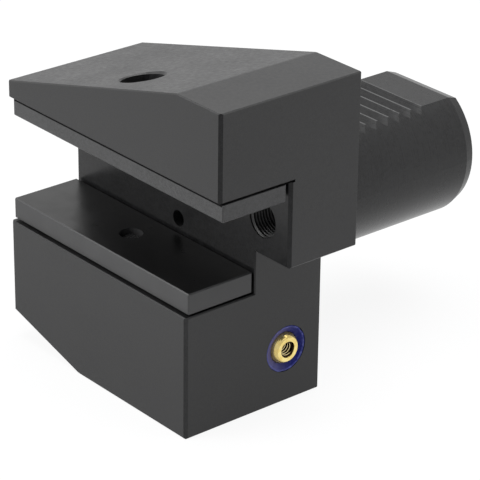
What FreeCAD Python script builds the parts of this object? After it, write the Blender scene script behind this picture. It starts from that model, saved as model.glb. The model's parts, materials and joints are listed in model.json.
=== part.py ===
"""Radial holder for square-shank turning tools, on a round shank with a serrated flat.

The frame has its origin on the shank's axis, in the plane where the flange meets the turret.
+Y runs out along the shank, X runs along the tool slot and +Z is up, towards the serration.
All sizes are in millimetres and stand once, in the sheet named Sizes.
"""
import FreeCAD
import Part
import os
import re
import Sketcher

SIZES = {
    # block and jaws
    "block_half": 42.5,
    "block_front": 43.5,
    "block_top": 47.7,
    "block_floor": 43.0,
    "ridge_place": 26.3,
    "low_end_top": 29.4,
    "slot_deep": 21.8,
    "lower_jaw_end": 30.0,
    "step_under": 1.9,
    "ramp_start": 14.2,
    "ramp_rise": 7.7,
    "relief_high": 0.45,
    "relief_deep": 1.4,
    "corner_break": 0.8,
    "edge_break": 0.3,
    # shank
    "shank_radius": 20.0,
    "shank_long": 63.0,
    "flat_height": 16.0,
    "flat_start": 12.0,
    "lead_long": 3.0,
    "lead_drop": 1.0,
    "tooth_first": 50.0,
    "tooth_pitch": 4.0,
    "tooth_count": 9,
    "tooth_land": 0.5,
    "tooth_deep": 1.5,
    "centre_radius": 3.2,
    "centre_deep": 5.5,
    "centre_pilot": 1.2,
    # seal at the root of the shank
    "seal_wire": 1.0,
    "seal_groove_start": 2.0,
    "seal_groove_wide": 2.6,
    "seal_groove_deep": 2.1,
    # support plate under the upper jaw
    "seat_height": 20.0,
    "support_thick": 5.0,
    "support_front_gap": 0.9,
    "support_rear_gap": 1.3,
    "support_end_gap": 1.2,
    "rebate_high": 0.45,
    "rebate_wide": 1.8,
    "screw_row": 32.0,
    "support_screw_place": -1.2,
    "support_web": 5.6,
    "support_thread": 3.0,
    "support_tip_cover": 0.6,
    "support_rim": 0.6,
    "pin_radius": 2.0,
    "pin_spread": 30.0,
    "pin_long": 8.0,
    "pin_cover": 1.0,
    # clamping plate and its screws
    "clamp_top": 3.5,
    "clamp_thick": 5.7,
    "clamp_gap": 0.4,
    "clamp_front_gap": 1.1,
    "clamp_rear_gap": 0.6,
    "clamp_end_gap": 0.2,
    "clamp_inner_gap": 0.3,
    "clamp_thread": 5.0,
    "clamp_screw_long": 25.0,
    "clamp_socket": 5.0,
    "clamp_socket_deep": 6.0,
    "clamp_inner_spread": 13.0,
    "clamp_outer_spread": 27.0,
    "tip_gap": 0.1,
    # screw and spring that pull the clamping plate down
    "return_thread": 3.0,
    "return_head_radius": 5.0,
    "return_head_high": 6.0,
    "return_long": 30.0,
    "return_tip_cover": 1.0,
    "return_web": 10.0,
    "spring_wire": 0.6,
    "spring_radius": 4.3,
    "spring_turns": 6,
    # socket head screws
    "head_clear": 0.5,
    "head_radius": 5.0,
    "head_high": 6.0,
    "head_socket": 5.0,
    "head_socket_deep": 3.0,
    "screw_break": 0.6,
    # swivelling coolant nozzle
    "nozzle_row": 11.2,
    "nozzle_drop": 28.2,
    "ball_radius": 4.4,
    "ball_sink": 2.0,
    "ball_proud": 1.1,
    "ball_back": 3.4,
    "ball_bore": 2.0,
    "ball_mouth": 0.12,
    "ball_clear": 0.1,
    "ring_radius": 6.3,
    "ring_long": 7.0,
    "dish_wide": 6.0,
    "dish_deep": 0.9,
    "nozzle_seal_wire": 0.9,
    "nozzle_seal_radius": 3.2,
    "feed_radius": 2.6,
    "feed_reach": 17.0,
    "inlet_radius": 3.5,
    "inlet_place": 17.0,
    # second coolant port, in the slot's back wall
    "port_place": 32.5,
    "port_height": 11.5,
    "port_radius": 4.86,
    "port_deep": 9.0,
    "port_link": 3.0,
    "plug_thread": 4.0,
    "plug_long": 8.0,
    "plug_sink": 0.5,
    "plug_socket": 4.0,
    "plug_socket_deep": 4.0,
    # small hole on the shank's axis
    "axis_hole_radius": 2.15,
    "axis_hole_deep": 14.0,
    # clearances
    "thread_clear": 0.15,
    "bore_clear": 0.05,
    "pass_clear": 0.3,
}

DOWN = FreeCAD.Rotation(FreeCAD.Vector(1, 0, 0), 180)
TO_FRONT = FreeCAD.Rotation(FreeCAD.Vector(1, 0, 0), 90)
TO_BACK = FreeCAD.Rotation(FreeCAD.Vector(1, 0, 0), -90)
TO_RIGHT = FreeCAD.Rotation(FreeCAD.Vector(0, 1, 0), 90)
TO_LEFT = FreeCAD.Rotation(FreeCAD.Vector(0, 1, 0), -90)
UP = FreeCAD.Rotation()

# places that several pieces share
ROOF = "(seat_height + support_thick)"
JAW_TOP = "(-clamp_top - clamp_thick - clamp_gap)"
CLAMP_UNDER = "(-clamp_top - clamp_thick)"
CLAMP_LEFT = "(clamp_end_gap - block_half)"
CLAMP_RIGHT = "(lower_jaw_end - clamp_inner_gap)"
CLAMP_MIDDLE = f"(({CLAMP_LEFT} + {CLAMP_RIGHT}) / 2)"
SUPPORT_HEAD_SEAT = f"({ROOF} + support_web)"
SUPPORT_LONG = "(support_web + support_thick - support_tip_cover)"
RETURN_HEAD_TOP = "(-clamp_top - return_tip_cover - return_long)"
RETURN_SHOULDER = f"({JAW_TOP} - return_web)"
BALL_CENTRE = "(lower_jaw_end - ball_sink)"
SOCKET = "(ball_radius + ball_clear)"
SEAL_BEHIND = "sqrt((ball_radius + ball_clear + nozzle_seal_wire)^2 - nozzle_seal_radius^2)"
SEAL_PLACE = f"({BALL_CENTRE} - {SEAL_BEHIND})"
POCKET_FLOOR = f"({SEAL_PLACE} - nozzle_seal_wire)"
OVER = "2"

doc = FreeCAD.newDocument("RadialToolHolder")
sheet = doc.addObject("Spreadsheet::Sheet", "Sizes")
for row, (alias, number) in enumerate(SIZES.items(), start=1):
    sheet.set(f"A{row}", alias)
    sheet.set(f"B{row}", str(number))
    sheet.setAlias(f"B{row}", alias)
doc.recompute()


def rule(text):
    """The expression with each alias in it pointed at the sheet."""
    return re.sub(r"[a-z][a-z_]*", lambda word: f"Sizes.{word[0]}" if word[0] in SIZES else word[0], text)


def value(text):
    """The number that an expression comes to."""
    return float(sheet.evalExpression(rule(text)))


def bind(thing, **sizes):
    """Binds properties of an object to expressions of the sheet."""
    for name, text in sizes.items():
        thing.setExpression(name.replace("__", "."), rule(text))


def place(thing, x, y, z, turn=UP):
    """Turns an object and binds the place of its own origin."""
    thing.Placement = FreeCAD.Placement(FreeCAD.Vector(), turn)
    bind(thing, Placement__Base__x=x, Placement__Base__y=y, Placement__Base__z=z)
    return thing


def add_sketch(body, name, plane, height="0"):
    """An empty sketch on one of the body's own planes, moved along that plane's normal."""
    sketch = body.newObject("Sketcher::SketchObject", name)
    sketch.AttachmentSupport = [(next(f for f in body.Origin.OriginFeatures if f.Role == plane), "")]
    sketch.MapMode = "FlatFace"
    bind(sketch, AttachmentOffset__Base__z=height)
    return sketch


def hold_corner(sketch, line, kind, text, axis):
    """Holds the first end of a line on an axis, or at a bound distance from the origin."""
    if text == "0":
        sketch.addConstraint(Sketcher.Constraint("PointOnObject", line, 1, axis))
        return
    index = sketch.addConstraint(Sketcher.Constraint(kind, -1, 1, line, 1, value(text)))
    sketch.renameConstraint(index, f"{kind}{line}")
    sketch.setExpression(f"Constraints.{kind}{line}", rule(text))


def outline(sketch, corners):
    """A closed outline of straight lines through corners given as pairs of expressions."""
    points = [FreeCAD.Vector(value(across), value(along), 0) for across, along in corners]
    last = len(points) - 1
    for line, point in enumerate(points):
        sketch.addGeometry(Part.LineSegment(point, points[0 if line == last else line + 1]), False)
    for line in range(last + 1):
        sketch.addConstraint(Sketcher.Constraint("Coincident", line, 2, 0 if line == last else line + 1, 1))
    for line, (across, along) in enumerate(corners):
        hold_corner(sketch, line, "DistanceX", across, -2)
        hold_corner(sketch, line, "DistanceY", along, -1)


def pad(body, name, plane, corners, length, height="0"):
    """A prism on an outline, towards the plane's own normal."""
    sketch = add_sketch(body, name + "_outline", plane, height)
    outline(sketch, corners)
    feature = body.newObject("PartDesign::Pad", name)
    feature.Profile = sketch
    bind(feature, Length=length)
    doc.recompute()
    return feature


def cut_across(body, name, plane, corners):
    """An outline cut through the body, both ways from its plane."""
    sketch = add_sketch(body, name + "_outline", plane)
    outline(sketch, corners)
    feature = body.newObject("PartDesign::Pocket", name)
    feature.Refine = False
    feature.Profile = sketch
    feature.Type = "ThroughAll"
    feature.Midplane = True
    doc.recompute()
    return feature


def revolve(body, name, plane, corners):
    """A turned form from half a section, about its sketch's upright axis."""
    sketch = add_sketch(body, name + "_section", plane)
    outline(sketch, corners)
    feature = body.newObject("PartDesign::Revolution", name)
    feature.Refine = False
    feature.Profile = sketch
    feature.ReferenceAxis = (sketch, ["V_Axis"])
    feature.Angle = 360
    doc.recompute()
    return feature


def is_convex(shape, edge):
    """Whether the solid lies inside the angle of an edge between two flat faces."""
    middle = edge.valueAt((edge.FirstParameter + edge.LastParameter) / 2)
    first, second = shape.ancestorsOfType(edge, Part.Face)
    step = (first.normalAt(0, 0) - second.normalAt(0, 0)) * 0.05
    return not shape.isInside(middle + step, 1e-6, False)


def is_square(shape, edge):
    """Whether the two flat faces at an edge stand nearly square to each other."""
    first, second = shape.ancestorsOfType(edge, Part.Face)
    return abs(first.normalAt(0, 0).dot(second.normalAt(0, 0))) < 0.5


def edge_names(shape, wanted):
    """The names of the edges that a test picks."""
    return [f"Edge{k}" for k, edge in enumerate(shape.Edges, start=1) if wanted(edge)]


def chamfer(body, name, wanted, size):
    """Breaks the edges that a test picks."""
    base = body.Tip
    feature = body.newObject("PartDesign::Chamfer", name)
    feature.Base = (base, edge_names(base.Shape, wanted))
    bind(feature, Size=size)
    doc.recompute()
    return feature


def is_upright(edge):
    """Whether an edge runs along Z."""
    first, last = edge.Vertexes[0].Point, edge.Vertexes[-1].Point
    return abs(first.x - last.x) + abs(first.y - last.y) < 1e-6


def cylinder(name, radius, length, x, y, z, turn=UP):
    """A round bar from a bound place, along +Z before it is turned."""
    bar = doc.addObject("Part::Cylinder", name)
    bind(bar, Radius=radius, Height=length)
    return place(bar, x, y, z, turn)


def cone(name, start_radius, end_radius, length, x, y, z, turn=UP):
    """A tapered bar from a bound place, along +Z before it is turned."""
    bar = doc.addObject("Part::Cone", name)
    bind(bar, Radius1=start_radius, Radius2=end_radius, Height=length)
    return place(bar, x, y, z, turn)


def ring(name, radius, wire, x, y, z, turn=UP):
    """A round-section seal about its own Z axis."""
    seal = doc.addObject("Part::Torus", name)
    bind(seal, Radius1=radius, Radius2=wire)
    return place(seal, x, y, z, turn)


def cut(name, base, tools):
    """The base with one or more tools taken out of it."""
    tool = tools[0]
    if len(tools) > 1:
        tool = doc.addObject("Part::MultiFuse", name + "_tools")
        tool.Shapes = tools
    result = doc.addObject("Part::Cut", name)
    result.Refine = False
    result.Base = base
    result.Tool = tool
    return result


def socket_screw(name, thread, length, socket, socket_deep, head=None):
    """A screw from its socket face at the origin up to its tip, with an optional round head."""
    form = doc.addObject("PartDesign::Body", name + "_form")
    foot = "0"
    corners = []
    if head:
        head_radius, foot = head
        corners = [(f"{head_radius} - screw_break", "0"), (head_radius, "screw_break"), (head_radius, foot)]
        corners += [(thread, foot)]
    else:
        corners = [(f"{thread} - screw_break", "0"), (thread, "screw_break")]
    tip = f"{foot} + {length}"
    corners += [(thread, f"{tip} - screw_break"), (f"{thread} - screw_break", tip)]
    revolve(form, name + "_turned", "XZ_Plane", [("0", "0")] + corners + [("0", tip)])
    key = doc.addObject("Part::Prism", name + "_socket")
    key.Polygon = 6
    bind(key, Circumradius=f"{socket} / sqrt(3)", Height=f"{socket_deep} + {OVER}")
    place(key, "0", "0", f"-{OVER}")
    return cut(name, form, [key])


def make_block(body):
    """The block with its two jaws and the tool slot between them."""
    pad(body, "block", "XZ_Plane", [
        ("-block_half", "ramp_rise - block_floor"), ("-ramp_start", "-block_floor"),
        ("lower_jaw_end", "-block_floor"), ("lower_jaw_end", "step_under"),
        ("block_half", "step_under"), ("block_half", "block_top"),
        ("ridge_place", "block_top"), ("-block_half", "low_end_top")], "block_front")
    mouth = f"-block_front - {OVER}"
    cut_across(body, "slot", "YZ_Plane", [
        (mouth, ROOF), ("relief_deep - slot_deep", ROOF),
        ("relief_deep - slot_deep", f"{ROOF} - relief_high"), ("-slot_deep", f"{ROOF} - relief_high"),
        ("-slot_deep", JAW_TOP), (mouth, JAW_TOP)])
    shape = body.Tip.Shape
    shallow = 2 * value("relief_deep")
    front, wall, end = value("-block_front"), value("-slot_deep"), value("block_half")

    def in_front(edge):
        """Whether an upright edge is in the front plane, or between the slot's back wall and the right end."""
        corner = edge.Vertexes[0].Point
        return abs(corner.y - front) < 1e-6 or abs(corner.y - wall) + abs(corner.x - end) < 1e-6

    chamfer(body, "corners", lambda e: is_upright(e) and in_front(e) and is_convex(shape, e), "corner_break")
    broken = body.Tip.Shape
    chamfer(body, "edges", lambda e: e.Length > shallow and is_convex(broken, e)
            and (is_square(broken, e) or not is_upright(e)), "edge_break")


def make_shank(body):
    """The round shank with its seal groove, flat, lead-in and serration, its wall in one face for each stretch."""
    groove_end = "seal_groove_start + seal_groove_wide"
    groove_floor = "shank_radius - seal_groove_deep"
    revolve(body, "shank", "XY_Plane", [
        ("0", f"-{OVER}"), ("shank_radius", f"-{OVER}"), ("shank_radius", "seal_groove_start"),
        (groove_floor, "seal_groove_start"), (groove_floor, groove_end), ("shank_radius", groove_end),
        ("shank_radius", "flat_start"), ("shank_radius", "tooth_first"), ("shank_radius", "shank_long - lead_long"),
        ("shank_radius - lead_drop", "shank_long"), ("0", "shank_long")])
    above = f"shank_radius + {OVER}"
    cut_across(body, "flat", "YZ_Plane", [
        ("flat_start", "flat_height"), ("shank_long - lead_long", "flat_height"),
        ("shank_long + lead_long", "flat_height - 2 * lead_drop"), ("shank_long + lead_long", above),
        ("flat_start", above)])
    root = "tooth_first - tooth_pitch + tooth_land"
    tooth = cut_across(body, "tooth_gap", "YZ_Plane", [
        ("tooth_first", "flat_height"), ("tooth_first - tooth_deep", "flat_height - tooth_deep"),
        (f"{root} + tooth_deep", "flat_height - tooth_deep"), (root, "flat_height"),
        (root, above), ("tooth_first", above)])
    row = body.newObject("PartDesign::LinearPattern", "serration")
    row.Refine = False
    row.Originals = [tooth]
    row.Direction = (tooth.Profile[0], ["H_Axis"])
    row.Reversed = True
    bind(row, Length="tooth_pitch * (tooth_count - 1)", Occurrences="tooth_count")
    body.Tip = row
    doc.recompute()


def clamp_places():
    """Where the clamping screws stand along the slot."""
    spreads = ("- clamp_outer_spread", "- clamp_inner_spread", "+ clamp_inner_spread", "+ clamp_outer_spread")
    return [f"{CLAMP_MIDDLE} {spread}" for spread in spreads]


def support_drills():
    """The counterbore and clearance hole of the support plate's screw, and the holes of its pins."""
    head_bore = "head_radius + head_clear"
    slope = "(block_top - low_end_top) / (ridge_place + block_half)"
    rim_top = f"(low_end_top + {slope} * (support_screw_place + block_half))"
    rim = cone("support_screw_rim", f"{head_bore} - support_rim", f"{head_bore} + 2 * support_rim",
               "3 * support_rim", f"support_screw_place + 2 * support_rim * sin(atan({slope}))", "-screw_row",
               f"{rim_top} - 2 * support_rim * cos(atan({slope}))", FreeCAD.Rotation(FreeCAD.Vector(0, -1, 0), 15))
    bind(rim, Placement__Rotation__Angle=f"atan({slope})")
    tools = [
        cylinder("support_screw_bore", head_bore, "block_top",
                 "support_screw_place", "-screw_row", SUPPORT_HEAD_SEAT),
        cylinder("support_screw_pass", "support_thread + pass_clear", f"support_web + {OVER}",
                 "support_screw_place", "-screw_row", f"{ROOF} - {OVER} / 2"),
        rim,
    ]
    for number, side in enumerate(("-", ""), start=1):
        tools.append(cylinder(f"pin_bore_{number}", "pin_radius + bore_clear",
                              f"pin_long - support_thick + 2 * pin_cover + {OVER}",
                              f"{side}pin_spread", "-screw_row", f"{ROOF} - {OVER}"))
    return tools


def clamp_drills():
    """The tapped holes of the clamping screws and the stepped hole of the return screw."""
    floor = f"-block_floor - {OVER}"
    tools = [
        cylinder("return_bore", "return_head_radius + head_clear", f"{RETURN_SHOULDER} + block_floor + {OVER}",
                 CLAMP_MIDDLE, "-screw_row", floor),
        cylinder("return_pass", "return_thread + pass_clear", f"return_web + {OVER}",
                 CLAMP_MIDDLE, "-screw_row", f"{RETURN_SHOULDER} - {OVER} / 2"),
    ]
    for number, x in enumerate(clamp_places(), start=1):
        tools.append(cylinder(f"clamp_bore_{number}", "clamp_thread + thread_clear",
                              f"block_floor + {JAW_TOP} + 2 * {OVER}", x, "-screw_row", floor))
    return tools


def nozzle_drills():
    """The nozzle's stepped pocket and the hole that feeds it."""
    mouth = f"lower_jaw_end + {OVER}"
    return [
        cylinder("ring_pocket", "ring_radius + bore_clear", f"ring_long + {OVER}",
                 mouth, "-nozzle_row", "-nozzle_drop", TO_LEFT),
        cylinder("ball_pocket", SOCKET, f"lower_jaw_end - {POCKET_FLOOR} + {OVER}",
                 mouth, "-nozzle_row", "-nozzle_drop", TO_LEFT),
        cylinder("feed_bore", "feed_radius", f"feed_reach + {OVER}", mouth, "-nozzle_row", "-nozzle_drop", TO_LEFT),
    ]


def inlet_drills():
    """The holes in the flange's rear face, the second port in the slot's wall and the shank's centre."""
    wall = f"-slot_deep - {OVER}"
    return [
        cylinder("inlet_bore", "inlet_radius", f"nozzle_row + inlet_radius + {OVER}",
                 "inlet_place", OVER, "-nozzle_drop", TO_FRONT),
        cylinder("axis_hole", "axis_hole_radius", f"axis_hole_deep + {OVER}", "0", wall, "0", TO_BACK),
        cylinder("port_bore", "port_radius", f"port_deep + {OVER}", "port_place", wall, "port_height", TO_BACK),
        cylinder("port_link_bore", "port_link", f"slot_deep + {OVER}", "port_place", OVER, "port_height", TO_FRONT),
        cylinder("plug_bore", "plug_thread + bore_clear", f"plug_sink + plug_long + {OVER}",
                 "port_place", OVER, "port_height", TO_FRONT),
        cone("centre_taper", "centre_radius", "0", "centre_radius * sqrt(3)", "0", "shank_long", "0", TO_FRONT),
        cylinder("centre_pilot_bore", "centre_pilot", f"centre_deep + {OVER}",
                 "0", f"shank_long + {OVER}", "0", TO_FRONT),
    ]


def make_holder_body():
    """The body: one piece of steel from the jaws to the end of the shank."""
    form = doc.addObject("PartDesign::Body", "holder_form")
    make_block(form)
    make_shank(form)
    drilled = cut("support_drilled", form, support_drills())
    drilled = cut("clamp_drilled", drilled, clamp_drills())
    drilled = cut("nozzle_drilled", drilled, nozzle_drills())
    return cut("holder_body", drilled, inlet_drills())


def make_support_plate():
    """The hardened plate that the tool seats against, with a rebate round its upper edge."""
    body = doc.addObject("PartDesign::Body", "support_plate_form")
    left, right = "support_end_gap - block_half", "block_half"
    front, rear = "support_front_gap - block_front", "-slot_deep - support_rear_gap"
    pad(body, "support_plate_foot", "XY_Plane", [(left, front), (right, front), (right, rear), (left, rear)],
        "support_thick - rebate_high", "seat_height")
    chamfer(body, "support_plate_corners", is_upright, "edge_break")
    under = value("seat_height")
    chamfer(body, "support_plate_edges", lambda e: e.BoundBox.ZMax - under < 1e-6, "edge_break")
    pad(body, "support_plate_land", "XY_Plane", [
        (f"{left} + rebate_wide", f"{front} + rebate_wide"), (f"{right} - rebate_wide", f"{front} + rebate_wide"),
        (f"{right} - rebate_wide", f"{rear} - rebate_wide"), (f"{left} + rebate_wide", f"{rear} - rebate_wide")],
        "rebate_high", f"{ROOF} - rebate_high")
    tools = [cylinder("support_plate_tap", "support_thread + bore_clear", f"support_thick + 2 * {OVER}",
                      "support_screw_place", "-screw_row", f"seat_height - {OVER}")]
    for number, side in enumerate(("-", ""), start=1):
        tools.append(cylinder(f"support_plate_pin_bore_{number}", "pin_radius + bore_clear", f"support_thick + {OVER}",
                              f"{side}pin_spread", "-screw_row", "seat_height + pin_cover"))
    return cut("support_plate", body, tools)


def make_clamping_plate():
    """The plate that the clamping screws push up against the tool."""
    body = doc.addObject("PartDesign::Body", "clamping_plate_form")
    front, rear = "clamp_front_gap - block_front", "-slot_deep - clamp_rear_gap"
    pad(body, "clamping_plate_pad", "XY_Plane",
        [(CLAMP_LEFT, front), (CLAMP_RIGHT, front), (CLAMP_RIGHT, rear), (CLAMP_LEFT, rear)],
        "clamp_thick", CLAMP_UNDER)
    chamfer(body, "clamping_plate_edges", lambda e: True, "edge_break")
    tap = cylinder("clamping_plate_tap", "return_thread + bore_clear", f"clamp_thick + 2 * {OVER}",
                   CLAMP_MIDDLE, "-screw_row", f"{CLAMP_UNDER} - {OVER}")
    return cut("clamping_plate", body, [tap])


def make_pin(name, x):
    """A dowel that keeps the support plate from turning, with its ends broken."""
    body = doc.addObject("PartDesign::Body", name)
    revolve(body, name + "_turned", "XZ_Plane", [
        ("0", "0"), ("pin_radius - screw_break", "0"), ("pin_radius", "screw_break"),
        ("pin_radius", "pin_long - screw_break"), ("pin_radius - screw_break", "pin_long"), ("0", "pin_long")])
    return place(body, x, "-screw_row", "seat_height + pin_cover")


def make_return_spring():
    """The spring between the shoulder in the lower jaw and the head of the return screw."""
    body = doc.addObject("PartDesign::Body", "return_spring")
    sketch = add_sketch(body, "spring_section", "XZ_Plane")
    circle = Part.Circle(FreeCAD.Vector(value("spring_radius"), 0, 0), FreeCAD.Vector(0, 0, 1), value("spring_wire"))
    wire = sketch.addGeometry(circle, False)
    sketch.addConstraint(Sketcher.Constraint("PointOnObject", wire, 3, -1))
    for kind, items, text in (("DistanceX", (-1, 1, wire, 3), "spring_radius"), ("Radius", (wire,), "spring_wire")):
        index = sketch.addConstraint(Sketcher.Constraint(kind, *items, value(text)))
        sketch.renameConstraint(index, kind)
        sketch.setExpression(f"Constraints.{kind}", rule(text))
    room = f"({RETURN_SHOULDER} - {RETURN_HEAD_TOP} - 2 * spring_wire)"
    coil = body.newObject("PartDesign::AdditiveHelix", "spring_coil")
    coil.Profile = sketch
    coil.ReferenceAxis = (sketch, ["V_Axis"])
    coil.Mode = "pitch-height-angle"
    bind(coil, Height=room, Pitch=f"{room} / spring_turns")
    return place(body, CLAMP_MIDDLE, "-screw_row", f"{RETURN_HEAD_TOP} + spring_wire")


def make_seat_ring():
    """The ring that holds the nozzle's ball in its pocket, dished in front."""
    bar = cylinder("seat_ring_bar", "ring_radius", "ring_long",
                   "lower_jaw_end - ring_long", "-nozzle_row", "-nozzle_drop", TO_RIGHT)
    ball = doc.addObject("Part::Sphere", "seat_ring_ball")
    bind(ball, Radius=SOCKET)
    place(ball, BALL_CENTRE, "-nozzle_row", "-nozzle_drop", TO_RIGHT)
    rear = cylinder("seat_ring_rear", SOCKET, f"ring_long - ball_sink + {OVER}", BALL_CENTRE, "-nozzle_row",
                    "-nozzle_drop", TO_LEFT)
    lip = f"sqrt({SOCKET}^2 - (ball_sink - dish_deep)^2)"
    dish = cone("seat_ring_dish", lip, "dish_wide", "dish_deep",
                "lower_jaw_end - dish_deep", "-nozzle_row", "-nozzle_drop", TO_RIGHT)
    return cut("nozzle_seat_ring", bar, [ball, rear, dish])


def make_nozzle_ball():
    """The ball of the coolant nozzle, flat in front and behind, bored and tapped through."""
    ball = doc.addObject("Part::Sphere", "nozzle_ball_blank")
    bind(ball, Radius="ball_radius")
    place(ball, "0", "0", "0", TO_RIGHT)
    front = "(ball_sink + ball_proud)"
    bar = cylinder("nozzle_ball_ends", "ball_radius + 1", f"ball_back + {front}", "-ball_back", "0", "0", TO_RIGHT)
    blank = doc.addObject("Part::Common", "nozzle_ball_flats")
    blank.Base = ball
    blank.Tool = bar
    bore = cylinder("nozzle_ball_bore", "ball_bore", "4 * ball_radius", "-2 * ball_radius", "0", "0", TO_RIGHT)
    mouth = cone("nozzle_ball_mouth", "ball_bore + 2 * ball_mouth", "ball_bore - ball_mouth", "3 * ball_mouth",
                 f"{front} + ball_mouth", "0", "0", TO_LEFT)
    nozzle = cut("nozzle_ball", blank, [bore, mouth])
    return place(nozzle, BALL_CENTRE, "-nozzle_row", "-nozzle_drop")


def make_screws():
    """Every screw and plug, each at its own place."""
    support = socket_screw("support_plate_screw", "support_thread", SUPPORT_LONG, "head_socket", "head_socket_deep",
                           ("head_radius", "head_high"))
    place(support, "support_screw_place", "-screw_row", f"{SUPPORT_HEAD_SEAT} + head_high", DOWN)
    back = socket_screw("return_screw", "return_thread", "return_long", "head_socket", "head_socket_deep",
                        ("return_head_radius", "return_head_high"))
    place(back, CLAMP_MIDDLE, "-screw_row", f"{RETURN_HEAD_TOP} - return_head_high")
    plug = socket_screw("coolant_inlet_plug", "plug_thread", "plug_long", "plug_socket", "plug_socket_deep")
    place(plug, "port_place", "-plug_sink", "port_height", TO_FRONT)
    screws = [support, back, plug]
    for number, x in enumerate(clamp_places(), start=1):
        screw = socket_screw(f"clamp_screw_{number}", "clamp_thread", "clamp_screw_long",
                             "clamp_socket", "clamp_socket_deep")
        screws.append(place(screw, x, "-screw_row", f"{CLAMP_UNDER} - tip_gap - clamp_screw_long"))
    return screws


def make_nodes():
    """All pieces of the holder, one object each."""
    seal_radius = "shank_radius - seal_groove_deep + seal_wire + bore_clear"
    return [
        make_holder_body(),
        make_support_plate(),
        make_clamping_plate(),
        make_pin("support_plate_pin_1", "-pin_spread"),
        make_pin("support_plate_pin_2", "pin_spread"),
        make_return_spring(),
        make_seat_ring(),
        make_nozzle_ball(),
        ring("nozzle_seal", "nozzle_seal_radius", "nozzle_seal_wire",
             SEAL_PLACE, "-nozzle_row", "-nozzle_drop", TO_RIGHT),
        ring("shank_seal", seal_radius, "seal_wire", "0", "seal_groove_start + seal_groove_wide / 2", "0", TO_BACK),
    ] + make_screws()


def check(nodes):
    """Stops on any failed object, and on any piece that isn't one sound solid."""
    for thing in doc.Objects:
        if "Invalid" in thing.State or "Error" in thing.State:
            raise RuntimeError(f"{thing.Name} failed: {thing.State}")
    for node in nodes:
        if node.Shape.isNull() or not node.Shape.isValid() or len(node.Shape.Solids) != 1:
            raise RuntimeError(f"{node.Name} isn't one valid solid")


nodes = make_nodes()
doc.recompute()
check(nodes)
os.makedirs("parts", exist_ok=True)
for node in nodes:
    node.Label = node.Name
    node.Shape.exportStep(f"parts/{node.Name}.step")
    print(f"{node.Name}: {node.Shape.Volume:.1f} mm3")
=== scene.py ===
"""Looks of the radial tool holder: finishes for its solids, modelled screws, threads, spring and nozzle."""
from dataclasses import dataclass, field
from enum import Enum
import json
import logging
import math
from typing import Sequence, Union

import bpy
import bmesh
from mathutils import Matrix, Vector, noise


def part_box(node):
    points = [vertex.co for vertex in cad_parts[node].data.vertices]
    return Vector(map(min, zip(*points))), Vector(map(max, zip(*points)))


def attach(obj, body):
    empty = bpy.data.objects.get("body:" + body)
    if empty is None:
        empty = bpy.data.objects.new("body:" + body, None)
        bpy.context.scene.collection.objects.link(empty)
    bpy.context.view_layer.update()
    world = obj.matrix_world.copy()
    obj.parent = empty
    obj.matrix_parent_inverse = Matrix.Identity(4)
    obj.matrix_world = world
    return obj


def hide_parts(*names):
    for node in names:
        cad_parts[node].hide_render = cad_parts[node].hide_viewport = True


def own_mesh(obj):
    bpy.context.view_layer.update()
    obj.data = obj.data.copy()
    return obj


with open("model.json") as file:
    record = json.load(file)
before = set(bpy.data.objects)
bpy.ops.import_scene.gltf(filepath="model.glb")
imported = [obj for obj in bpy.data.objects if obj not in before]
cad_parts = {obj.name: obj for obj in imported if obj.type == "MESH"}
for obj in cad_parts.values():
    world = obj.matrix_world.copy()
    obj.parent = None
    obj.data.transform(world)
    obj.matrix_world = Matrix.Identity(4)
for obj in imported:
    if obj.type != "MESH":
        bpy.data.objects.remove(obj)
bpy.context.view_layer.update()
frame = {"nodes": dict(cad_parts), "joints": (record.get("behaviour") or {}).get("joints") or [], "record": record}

LOG = logging.getLogger("tool_holder")
MM = 0.001
Link = Union[float, "Field", Sequence[float], bpy.types.NodeSocket]


class Shape(Enum):
    """The outline of one ring of points round an axis."""

    ROUND = "round"
    HEXAGON = "hexagon"
    KNURL = "knurl"


class Axis(Enum):
    """The way that a turned piece points, as the turn from +Z."""

    UP = (1.0, 0.0, 0.0, 0.0)
    RIGHT = (0.0, 1.0, 0.0, 90.0)
    BACK = (1.0, 0.0, 0.0, -90.0)
    DOWN = (1.0, 0.0, 0.0, 180.0)
    FRONT = (1.0, 0.0, 0.0, 90.0)

    def matrix(self) -> Matrix:
        """Returns the rotation that turns +Z to this way."""
        x, y, z, degrees = self.value
        if self is Axis.UP:
            return Matrix.Identity(4)
        return Matrix.Rotation(math.radians(degrees), 4, Vector((x, y, z)))


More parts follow.
